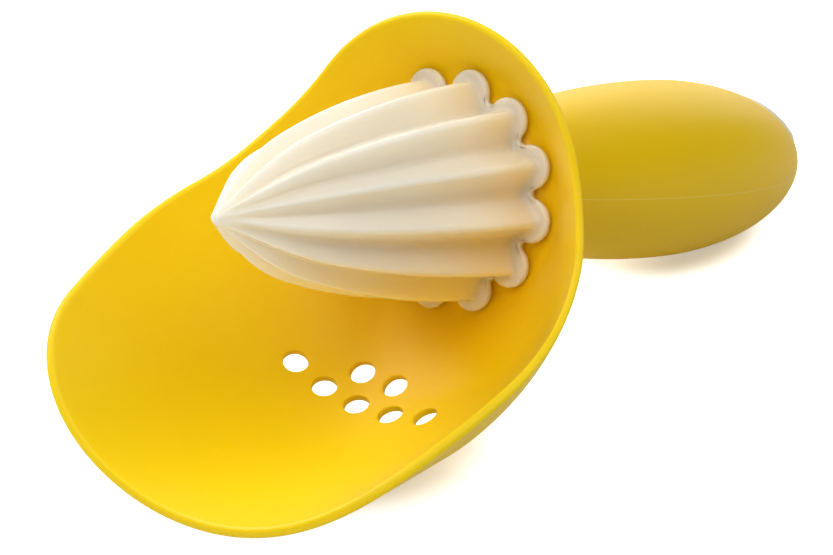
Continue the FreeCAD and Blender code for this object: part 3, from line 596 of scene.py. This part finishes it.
neck_outer = handle_radius(NECK_JOINT, 0.0)
neck_inner = handle_radius(NECK_JOINT, GRIP_WALL)
square = SOCKET_HALF / np.maximum(np.abs(np.sin(angles)), np.abs(np.cos(angles)))
back_ring = flat_ring(-BACK, seat_edge)
corner_ring = neck_ring(-BACK, neck_outer, 0.0)
neck_start = neck_ring(-BACK - NECK_FLARE, neck_outer)
neck_rows = []
for bend in np.radians(np.linspace(0, 90, 15))[1:]:
    to_back, to_neck = rounding(1.0, bend)
    from_back = (back_ring - corner_ring) * to_back
    neck_rows.append(corner_ring + from_back + (neck_start - corner_ring) * to_neck)
for bend in np.radians(np.linspace(0, 90, 4)):
    before, inset = rounding(NECK_ROUND, bend)
    neck_rows.append(neck_ring(NECK_JOINT + before, neck_outer - inset))
neck_rows.append(neck_ring(NECK_JOINT, neck_inner))
neck_rows.append(neck_ring(-BACK, neck_inner, 0.0))
neck_rows.append(flat_ring(-BACK, square))
front_rows = [flat_ring(along, reach) for along, reach in (
    (0.0, square),
    (0.0, SEAL_REACH[0]),
    (-SEAL_DEPTH, SEAL_REACH[0]),
    (-SEAL_DEPTH, SEAL_REACH[1]),
    (0.0, SEAL_REACH[1]),
    (0.0, PAD_REACH),
    (-CHANNEL, PAD_REACH),
)]
print("neck radius %.2f, bore %.2f" % (neck_outer, neck_inner))

# %% [markdown]
# Now the parts are stacked into one closed sheet: seat with its seal groove, inner wall, rim, outer wall,
# neck and bore. Each hole gets rings of its own from the inner circle through the wall to the outer circle,
# with both edges rounded.

# %% The bowl as one closed sheet
inner_rows = wall_point(turns, runs, 0.0)
outer_rows = wall_point(turns, runs, 1.0)[::-1]
bowl_rows = np.concatenate([np.stack(front_rows), inner_rows, rim_rows, outer_rows, np.stack(neck_rows)])
row_count, column_count = bowl_rows.shape[:2]
bowl_faces = sheet_faces(row_count, column_count, rows_close=True)
inner_start = len(front_rows)
outer_start = inner_start + len(inner_rows) + len(rim_rows)
outer_last = outer_start + len(outer_rows) - 1
open_cells = np.ones(bowl_faces.shape[:2], bool)
side_steps = np.arange(-OPEN, OPEN)
edge = np.full(2 * OPEN, OPEN)
walk_side = np.concatenate([side_steps, edge, -side_steps, -edge])
walk_up = np.concatenate([-edge, side_steps, edge, -side_steps])
walk_across, walk_along = to_circle(walk_up.astype(float), walk_side.astype(float))
hole_edge = [rounding(HOLE_ROUND, bend) for bend in np.radians([30, 60, 90])]
hole_depths = [(wider, down / THIN) for wider, down in hole_edge]
hole_depths += [(wider, 1 - depth) for wider, depth in reversed(hole_depths)]
bowl_points = [bowl_rows.reshape(-1, 3)]
hole_faces = []
point_total = row_count * column_count
for hole_run, hole_column, hole_angle in HOLES:
    row, column = row_of[hole_run], int(hole_column)
    open_cells[inner_start + row - OPEN:inner_start + row + OPEN, column - OPEN:column + OPEN] = False
    open_cells[outer_last - row - OPEN:outer_last - row + OPEN, column - OPEN:column + OPEN] = False
    rings = [(inner_start + row + walk_up) * column_count + column + walk_side]
    for wider, depth in hole_depths:
        radius = HOLE_RADIUS + wider
        angle, run = hole_place(hole_run, hole_angle, radius * walk_across, radius * walk_along)
        bowl_points.append(wall_point(angle, run, depth))
        rings.append(point_total + np.arange(len(walk_up)))
        point_total += len(walk_up)
    rings.append((outer_last - row - walk_up) * column_count + column + walk_side)
    for near, far in zip(rings[:-1], rings[1:]):
        hole_faces.append(np.stack([near, np.roll(near, -1), np.roll(far, -1), far], axis=-1))
bowl_points = np.concatenate(bowl_points)
bowl_faces = np.concatenate([bowl_faces[open_cells], *hole_faces])
used, bowl_faces = np.unique(bowl_faces, return_inverse=True)
bowl = add_piece("pouring_bowl", bowl_points[used], bowl_faces.reshape(-1, 4))
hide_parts("catcher_bowl")
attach(bowl, "root")

# %% [markdown]
# The handle is a soft ovoid of two half ellipses, with an oval window for the white insert on the slope of
# its rear end. Rings about the axis would crowd together at the tail and cut across the window, so each line
# of the grid runs the shortest way over a ball from the neck's ring to the window's edge, and the ball is
# then stretched into the ovoid.

# %% The ovoid and the insert's oval
INSERT_SLANT = math.radians(31.4)
INSERT_LONG = 8.8
INSERT_WIDE = 6.5
INSERT_X = -100.5
INSERT_Z = 6.6
SLIDE = 6.0
slant_along = np.array([math.cos(INSERT_SLANT), 0.0, math.sin(INSERT_SLANT)])
slant_out = np.array([-math.sin(INSERT_SLANT), 0.0, math.cos(INSERT_SLANT)])
insert_middle = np.array([INSERT_X, 0.0, INSERT_Z])


def ball_to_handle(ball, inset):
    """Stretches directions on the unit ball into the ovoid, by a longer half in front than behind."""
    half = np.where(ball[..., 0] > 0, HANDLE_NOSE - inset, HANDLE_TAIL - inset)
    radius = HANDLE_RADIUS - inset
    return handle_frame(ball[..., 0] * half - HANDLE_MIDDLE, ball[..., 1] * radius, ball[..., 2] * radius)


def handle_to_ball(points, inset):
    """The reverse of ball_to_handle: the direction on the unit ball, and the length, which is 1 on the ovoid
    and less inside it."""
    x, z = points[..., 0], points[..., 2] - HANDLE_RISE
    along = x * math.cos(DROOP) + z * math.sin(DROOP) + HANDLE_MIDDLE
    up = z * math.cos(DROOP) - x * math.sin(DROOP)
    half = np.where(along > 0, HANDLE_NOSE - inset, HANDLE_TAIL - inset)
    radius = HANDLE_RADIUS - inset
    ball = np.stack([along / half, points[..., 1] / radius, up / radius], axis=-1)
    length = np.linalg.norm(ball, axis=-1)
    return ball / length[..., None], length


def onto_handle(points, inset):
    """Slides points along the slant's normal onto the ovoid, found by halving a bracket."""
    low = points - SLIDE * slant_out
    high = points + SLIDE * slant_out
    for _ in range(HALVINGS):
        middle = (low + high) / 2
        inside = (handle_to_ball(middle, inset)[1] < 1)[..., None]
        low = np.where(inside, middle, low)
        high = np.where(inside, high, middle)
    return (low + high) / 2


def insert_ring(turn, shrink, inset=0.0):
    """The insert's oval, made smaller by a margin in millimetres, laid onto the ovoid."""
    flat = (INSERT_LONG - shrink) * np.cos(turn)[:, None] * slant_along
    flat = flat + (INSERT_WIDE - shrink) * np.sin(turn)[:, None] * np.array([0.0, 1.0, 0.0])
    return onto_handle(insert_middle + flat, inset)


# %% [markdown]
# The grip's skin goes from the neck over the outside to the window, down the window's side and back along
# the inside, so it is a closed skin with real thickness like the moulded one.

# %% The soft grip
GRIP_COLUMNS = 200
CROWDING = 0.12
WINDOW_ROUND = 0.25
WINDOW_DEPTH = 1.4
FOOT_DROP = 0.4
OUTSIDE_ROWS = 150
INSIDE_ROWS = 60
turn = 2 * math.pi * np.arange(GRIP_COLUMNS) / GRIP_COLUMNS


def over_ball(start, end, share):
    """Points on the shorter great circle between two sets of directions, w apart: at a share t of the way
    they are sin((1 - t) w) / sin w of the first and sin(t w) / sin w of the second, added up."""
    angle = np.arccos(np.clip(np.einsum("ij,ij->i", start, end), -1, 1))[:, None]
    share = share[:, None, None]
    return (np.sin((1 - share) * angle) * start + np.sin(share * angle) * end) / np.sin(angle)


def neck_directions(along, inset):
    """Directions on the ball of one ring of the handle's front half, in the insert's order of turning."""
    part = (along + HANDLE_MIDDLE) / (HANDLE_NOSE - inset)
    ring = math.sqrt(1 - part ** 2)
    return np.stack([np.full_like(turn, part), ring * np.sin(turn), ring * np.cos(turn)], axis=-1)


def skin_rows(inset, window, rows):
    """Rows of one side of the skin from the neck to the window's edge, a little closer together halfway."""
    start = neck_directions(NECK_JOINT - NECK_ROUND, inset)
    share = np.linspace(0, 1, rows)
    share = share + CROWDING * np.sin(2 * math.pi * share) / (2 * math.pi)
    return ball_to_handle(over_ball(start, handle_to_ball(window, inset)[0], share), inset)


window_edge = insert_ring(turn, -WINDOW_ROUND)
window_side = []
for bend in np.radians([30, 60, 90]):
    wider, down = rounding(WINDOW_ROUND, bend)
    window_side.append(insert_ring(turn, -wider) - slant_out * down)
window_foot = insert_ring(turn, 0.0) - slant_out * WINDOW_DEPTH
outer_skin = skin_rows(0.0, window_edge, OUTSIDE_ROWS)
inner_skin = skin_rows(GRIP_WALL, window_foot - slant_out * FOOT_DROP, INSIDE_ROWS)[::-1]
neck_lip = []
for bend in np.radians([90, 60, 30]):
    behind, inset = rounding(NECK_ROUND, bend)
    radius = handle_radius(NECK_JOINT - NECK_ROUND, 0.0) - inset
    neck_lip.append(handle_frame(NECK_JOINT - behind, radius * np.sin(turn), radius * np.cos(turn)))
neck_face = handle_frame(NECK_JOINT, neck_inner * np.sin(turn), neck_inner * np.cos(turn))
grip_rows = np.concatenate([
    np.stack(neck_lip), outer_skin, np.stack(window_side), window_foot[None], inner_skin, neck_face[None],
])
grip_faces = sheet_faces(*grip_rows.shape[:2], rows_close=True).reshape(-1, 4)
grip = add_piece("soft_grip", grip_rows.reshape(-1, 3), grip_faces)
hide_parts("handle_grip")
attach(grip, "root")

# %% [markdown]
# The white insert fills the window and stands a little proud of the grip. Its top is the same ovoid grown by
# that height, drawn as rings that widen from the middle to a rounded edge.

# %% The white end insert
GAP = 0.06
PROUD = 0.4
INSERT_EDGE = 0.35
INSERT_DEPTH = 1.65
ring_shares = (0.15, 0.3, 0.45, 0.6, 0.75, 0.87)
insert_rings = [insert_ring(turn, GAP + INSERT_WIDE * (1 - share), -PROUD) for share in ring_shares]
for bend in np.radians([0, 22, 45, 67, 90]):
    inset, down = rounding(INSERT_EDGE, bend)
    insert_rings.append(insert_ring(turn, GAP + inset, -PROUD) - slant_out * down)
insert_rings.append(insert_ring(turn, GAP, -PROUD) - slant_out * INSERT_DEPTH)
insert_rows = np.stack(insert_rings)
top_middle = onto_handle(insert_middle[None], -PROUD)
insert_points = np.concatenate([insert_rows.reshape(-1, 3), top_middle, insert_middle[None] - slant_out])
insert = add_piece("end_button", insert_points, *capped_faces(*insert_rows.shape[:2]))
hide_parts("end_insert")
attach(insert, "root")

# %% [markdown]
# Every finish is a tree of shader nodes, so one function adds a node, sets its own settings, and gives each
# of its inputs a value or a link from another node's output.

# %% A shader node in one call


def add_node(tree, kind, inputs, **settings):
    """Adds a node. An input that is given another node's output is linked, and any other is set."""
    made = tree.nodes.new("ShaderNode" + kind)
    for name, value in settings.items():
        setattr(made, name, value)
    for name, value in inputs.items():
        if isinstance(value, bpy.types.NodeSocket):
            tree.links.new(value, made.inputs[name])
        else:
            made.inputs[name].default_value = value
    return made


def surface_of(material):
    """The inputs of a material's surface."""
    return material.node_tree.nodes["Principled BSDF"].inputs


def fade_round(tree, point, start, end, value_start=0.0, value_end=1.0):
    """A smooth step of the distance from a point, from one value at the start to another at the end."""
    place = add_node(tree, "TexCoord", {}).outputs["Object"]
    away = add_node(tree, "VectorMath", {0: place, 1: point}, operation="DISTANCE").outputs["Value"]
    limits = {"From Min": start, "From Max": end, "To Min": value_start, "To Max": value_end}
    step = add_node(tree, "MapRange", {"Value": away, **limits}, interpolation_type="SMOOTHSTEP")
    return step.outputs["Result"]


# %% [markdown]
# Moulded plastic is a Principled surface: the colour, a soft gloss, and a little light that spreads under
# the surface, which keeps the white ridges from looking like plaster. Fine noise on Object coordinates in
# the roughness and the bump keeps the gloss from looking like glass, and a wide, faint drift in the colour
# keeps the large faces from looking flat.

# %% Moulded plastics
DRIFT_SCALE = 60.0
GRAIN_SCALE = 2500.0
GLOSS_SPREAD = 0.05
GRAIN_DEPTH = 0.0002
UNDER_SURFACE = 0.004


def moulded(name, colour, shade, roughness, spread, shine=0.5, bump=0.02):
    """Plastic with a colour that drifts slightly, roughness from fine noise, and a faint bump. spread is how
    much of its light travels under the surface, and shine is how strongly it reflects."""
    material = bpy.data.materials.new(name)
    material.use_nodes = True
    tree = material.node_tree
    place = add_node(tree, "TexCoord", {}).outputs["Object"]
    drift = add_node(tree, "TexNoise", {"Vector": place, "Scale": DRIFT_SCALE, "Detail": 2.0})
    tints = {"Factor": drift.outputs["Fac"], "A": (*colour, 1), "B": (*shade, 1)}
    mix = add_node(tree, "Mix", tints, data_type="RGBA")
    noise = add_node(tree, "TexNoise", {"Vector": place, "Scale": GRAIN_SCALE, "Detail": 3.0})
    grain = noise.outputs["Fac"]
    gloss_ends = {"To Min": roughness - GLOSS_SPREAD, "To Max": roughness + GLOSS_SPREAD}
    gloss = add_node(tree, "MapRange", {"Value": grain, **gloss_ends})
    relief = add_node(tree, "Bump", {"Strength": bump, "Distance": GRAIN_DEPTH, "Height": grain})
    surface = surface_of(material)
    tree.links.new(mix.outputs["Result"], surface["Base Color"])
    tree.links.new(gloss.outputs["Result"], surface["Roughness"])
    tree.links.new(relief.outputs["Normal"], surface["Normal"])
    surface["Specular IOR Level"].default_value = shine
    surface["Subsurface Weight"].default_value = spread
    surface["Subsurface Radius"].default_value = (1.0, 0.95, 0.85)
    surface["Subsurface Scale"].default_value = UNDER_SURFACE
    return material


white_plastic = moulded("white_plastic", (0.92, 0.84, 0.70), (0.90, 0.82, 0.67), 0.24, 1.0)
yellow_plastic = moulded("yellow_plastic", (0.97, 0.66, 0.0), (0.95, 0.64, 0.0), 0.42, 0.15, 0.25)
surface_of(yellow_plastic)["Sheen Weight"].default_value = 0.08
surface_of(yellow_plastic)["Sheen Roughness"].default_value = 0.35
yellow_rubber = moulded("yellow_rubber", (0.85, 0.555, 0.0), (0.83, 0.535, 0.0), 0.44, 0.0, 0.15, 0.08)
insert_white = moulded("insert_white", (0.84, 0.82, 0.80), (0.82, 0.80, 0.79), 0.35, 0.2)
reamer.data.materials.append(white_plastic)
bowl.data.materials.append(yellow_plastic)
grip.data.materials.append(yellow_rubber)
insert.data.materials.append(insert_white)

# %% [markdown]
# Round the cone's foot the bowl looks more orange, where light goes from one yellow wall to another before
# it comes out. The rendered light does that less, so that bounce light is painted: a deeper orange is mixed
# into the plastic's colour there, wholly near the middle of the seat, and less and less out to the strainer
# holes.

# %% Painted orange bounce light at the seat


def mix_in(material, share, colour):
    """Mixes a second colour into a material's own, by a share from 0 to 1 that another node gives."""
    tree = material.node_tree
    base = surface_of(material)["Base Color"]
    own = base.links[0].from_socket
    mix = add_node(tree, "Mix", {"Factor": share, "A": own, "B": (*colour, 1)}, data_type="RGBA")
    tree.links.new(mix.outputs["Result"], base)


seat_middle = laid_down(np.array([2.0, 0.0, -8.0]))
# Painted bounce light: a deeper orange mixed into the bowl's colour round the seat, fading out to the
# strainer holes.
painted_bounce_share = fade_round(yellow_plastic.node_tree, seat_middle, 0.044, 0.018)
mix_in(yellow_plastic, painted_bounce_share, (0.98, 0.58, 0.0))
print("painted bounce light round", seat_middle.round(4))

# %% [markdown]
# The mould of the grip closed in the plane of the handle's axis, and a hair of rubber stands out along it.
# Its height is one in that plane and falls to zero a tenth of a millimetre away on either side. It is added
# to the grain in the bump, and it also drives a painted highlight that lightens the colour a little along
# the line, where the thin ridge catches light.

# %% The grip's parting line and its painted highlight
LINE_HALF = 0.0001
LINE_HEIGHT = 6.0
PAINTED_HIGHLIGHT_SHARE = 0.7


def parting_line(material, point, normal):
    """Raises a thin line where the surface crosses a plane, and gives its height, which the caller uses for
    a painted highlight.
    The distance to the plane is the size of normal . place - normal . point."""
    tree = material.node_tree
    place = add_node(tree, "TexCoord", {}).outputs["Object"]
    across = add_node(tree, "VectorMath", {0: place, 1: normal}, operation="DOT_PRODUCT").outputs["Value"]
    away = add_node(tree, "Math", {0: across, 1: float(np.dot(point, normal))}, operation="SUBTRACT")
    distance = add_node(tree, "Math", {0: away.outputs["Value"]}, operation="ABSOLUTE").outputs["Value"]
    limits = {"From Min": LINE_HALF, "From Max": 0.0}
    height = add_node(tree, "MapRange", {"Value": distance, **limits}, interpolation_type="SMOOTHSTEP")
    relief = next(node for node in tree.nodes if node.type == "BUMP").inputs["Height"]
    grain = relief.links[0].from_socket
    parts = {0: height.outputs["Result"], 1: LINE_HEIGHT, 2: grain}
    total = add_node(tree, "Math", parts, operation="MULTIPLY_ADD")
    tree.links.new(total.outputs["Value"], relief)
    return height.outputs["Result"]


on_axis = laid_down(handle_frame(-HANDLE_MIDDLE, np.array(0.0), np.array(0.0)))
lean = REST_TILT + DROOP
line_height = parting_line(yellow_rubber, on_axis, (-math.sin(lean), 0.0, math.cos(lean)))
# Painted highlight: the grip's colour is lightened along the parting line.
painted_highlight_part = {0: line_height, 1: PAINTED_HIGHLIGHT_SHARE}
painted_highlight_share = add_node(yellow_rubber.node_tree, "Math", painted_highlight_part, operation="MULTIPLY").outputs["Value"]
mix_in(yellow_rubber, painted_highlight_share, (0.95, 0.78, 0.20))
print("parting line through", on_axis.round(4))

# %% [markdown]
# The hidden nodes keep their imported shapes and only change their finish: white moulded core halves, a grey
# rubber seal, and a plated steel screw and washer.

# %% Finishes of the inner parts


def repaint(node, material):
    """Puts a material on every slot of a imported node."""
    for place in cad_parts[node].material_slots:
        place.material = material


core_white = moulded("core_white", (0.78, 0.76, 0.72), (0.75, 0.73, 0.69), 0.5, 0.1)
seal_rubber = moulded("seal_rubber", (0.62, 0.60, 0.57), (0.58, 0.56, 0.53), 0.6, 0.0, bump=0.1)
steel = moulded("plated_steel", (0.60, 0.60, 0.61), (0.55, 0.55, 0.56), 0.28, 0.0)
surface_of(steel)["Metallic"].default_value = 1.0
repaint("core_upper", core_white)
repaint("core_lower", core_white)
repaint("flange_seal", seal_rubber)
repaint("tie_screw", steel)
repaint("screw_washer", steel)

# %% [markdown]
# The scene is a product shot on pure white, with soft warm shadows close to the object and none farther off.
# The floor is a large white sheet that reflects light as paper does. For the camera alone it also glows:
# fully on the open floor, and less close to the bowl's belly and the handle's end, so the shadows show only
# there. Close to the object that glow is tinted warm, a painted warm light in the shadows, and below the
# strainer holes it is full, a painted pool of light where the bowl shades the floor. The background is white
# for the camera alone, and dim for everything else.

# %% Floor and background
HALF_FLOOR = 6.0
SHADED_GLOW = 0.50
OPEN_GLOW = 1.02
SKY_LIGHT = 0.08
corners = [(-HALF_FLOOR, -HALF_FLOOR, 0), (HALF_FLOOR, -HALF_FLOOR, 0)]
corners += [(HALF_FLOOR, HALF_FLOOR, 0), (-HALF_FLOOR, HALF_FLOOR, 0)]
floor_mesh = bpy.data.meshes.new("floor_sheet")
floor_mesh.from_pydata(corners, [], [(0, 1, 2, 3)])
floor = bpy.data.objects.new("floor_sheet", floor_mesh)
bpy.context.scene.collection.objects.link(floor)
paper = bpy.data.materials.new("white_paper")
paper.use_nodes = True
tree = paper.node_tree
tree.nodes.remove(tree.nodes["Principled BSDF"])
plain = add_node(tree, "BsdfDiffuse", {"Color": (0.80, 0.80, 0.80, 1)})
beside_bowl = fade_round(tree, (0.045, 0.0, 0.0), 0.019, 0.031)
beside_handle = fade_round(tree, (-0.060, -0.012, 0.0), 0.018, 0.027)
# Painted pool of light: below the strainer holes the floor glows fully for the camera, though it lies in the
# bowl's shade.
painted_pool_below_holes = fade_round(tree, (0.0295, -0.008, 0.0), 0.018, 0.026, 1.0, 0.0)
off_object = add_node(tree, "Math", {0: beside_bowl, 1: beside_handle}, operation="MINIMUM")
glow_share_with_painted_pool = add_node(tree, "Math", {0: off_object.outputs["Value"], 1: painted_pool_below_holes}, operation="MAXIMUM")
glow_share_with_painted_pool = glow_share_with_painted_pool.outputs["Value"]
level = add_node(tree, "MapRange", {"Value": glow_share_with_painted_pool, "To Min": SHADED_GLOW, "To Max": OPEN_GLOW})
# Painted warm light: close to the object the floor's glow is tinted warm, so the shadows there come out
# warm.
painted_warm_tones = {"Factor": glow_share_with_painted_pool, "A": (1.0, 0.90, 0.70, 1), "B": (1, 1, 1, 1)}
painted_warm_tone = add_node(tree, "Mix", painted_warm_tones, data_type="RGBA")
seen = add_node(tree, "LightPath", {}).outputs["Is Camera Ray"]
strength = add_node(tree, "Math", {0: level.outputs["Result"], 1: seen}, operation="MULTIPLY")
glow_parts = {"Color": painted_warm_tone.outputs["Result"], "Strength": strength.outputs["Value"]}
glow = add_node(tree, "Emission", glow_parts)
both = add_node(tree, "AddShader", {0: plain.outputs["BSDF"], 1: glow.outputs["Emission"]})
tree.links.new(both.outputs["Shader"], tree.nodes["Material Output"].inputs["Surface"])
floor_mesh.materials.append(paper)

world = bpy.data.worlds.new("studio")
bpy.context.scene.world = world
world.use_nodes = True
background = world.node_tree.nodes["Background"]
background.inputs["Color"].default_value = (1, 1, 1, 1)
sky_seen = add_node(world.node_tree, "LightPath", {}).outputs["Is Camera Ray"]
sky_levels = {"Value": sky_seen, "To Min": SKY_LIGHT, "To Max": 1.0}
sky = add_node(world.node_tree, "MapRange", sky_levels)
world.node_tree.links.new(sky.outputs["Result"], background.inputs["Strength"])

# %% [markdown]
# Five soft lamps stand round the object. Their places and strengths come from comparing the brightness of
# the bowl, the cone and the handle with the photograph: a low wide panel behind the handle gives the sheen
# along its top, the strongest softbox stands to the left, a large one hangs overhead, and two weaker ones
# fill in from the right and the front.

# %% Lamps


def soft_lamp(name, place, target, width, height, power):
    """Rectangular lamp at a place, turned to face a target. Lengths are metres and power is in watts."""
    light = bpy.data.lights.new(name, "AREA")
    light.shape = "RECTANGLE"
    light.size = width
    light.size_y = height
    light.energy = power
    lamp = bpy.data.objects.new(name, light)
    bpy.context.scene.collection.objects.link(lamp)
    lamp.location = place
    lamp.rotation_mode = "QUATERNION"
    lamp.rotation_quaternion = (Vector(target) - Vector(place)).to_track_quat("-Z", "Y")


soft_lamp("back_panel", (-0.77, -0.45, 0.28), (0, 0, 0.03), 1.1, 0.5, 3.9)
soft_lamp("left_softbox", (0.08, -0.74, 0.60), (0, 0, 0.03), 0.6, 0.6, 5.6)
soft_lamp("top_softbox", (0.22, 0.16, 0.90), (0, 0, 0.02), 0.9, 0.9, 4.4)
soft_lamp("right_softbox", (-0.40, 0.48, 0.73), (0, 0, 0.03), 0.6, 0.6, 1.9)
soft_lamp("front_softbox", (0.78, 0.12, 0.57), (0, 0, 0.03), 0.6, 0.6, 2.1)

# %% [markdown]
# The camera was found from the photograph by fitting the flange's scallops, the holes and the tip. It is
# written in the reamer's own frame, where the fit was made, and laid down with the rest angle like the
# pieces. The fit gives a focal length of 4000 pixels in a picture 833 pixels wide.

# %% Camera
SENSOR = 36.0
FOCAL_PIXELS = 4000
PICTURE_PIXELS = 833
lens = bpy.data.cameras.new("camera")
lens.sensor_width = SENSOR
lens.lens = FOCAL_PIXELS / PICTURE_PIXELS * SENSOR
camera = bpy.data.objects.new("camera", lens)
bpy.context.scene.collection.objects.link(camera)
right = Vector((-0.60353, 0.77254, 0.19730))
down = Vector((0.09012, 0.31196, -0.94581))
ahead = Vector((-0.79223, -0.55305, -0.25791))
own_turn = Matrix((right, -down, -ahead)).transposed().to_4x4()
own_place = laid_down(np.array([565.12, 390.90, 166.32]))
camera.matrix_world = Matrix.Translation(own_place) @ Matrix.Rotation(-REST_TILT, 4, "Y") @ own_turn
print("camera stands at", own_place.round(3))
bpy.context.scene.camera = camera
bpy.context.scene.view_settings.view_transform = "Standard"
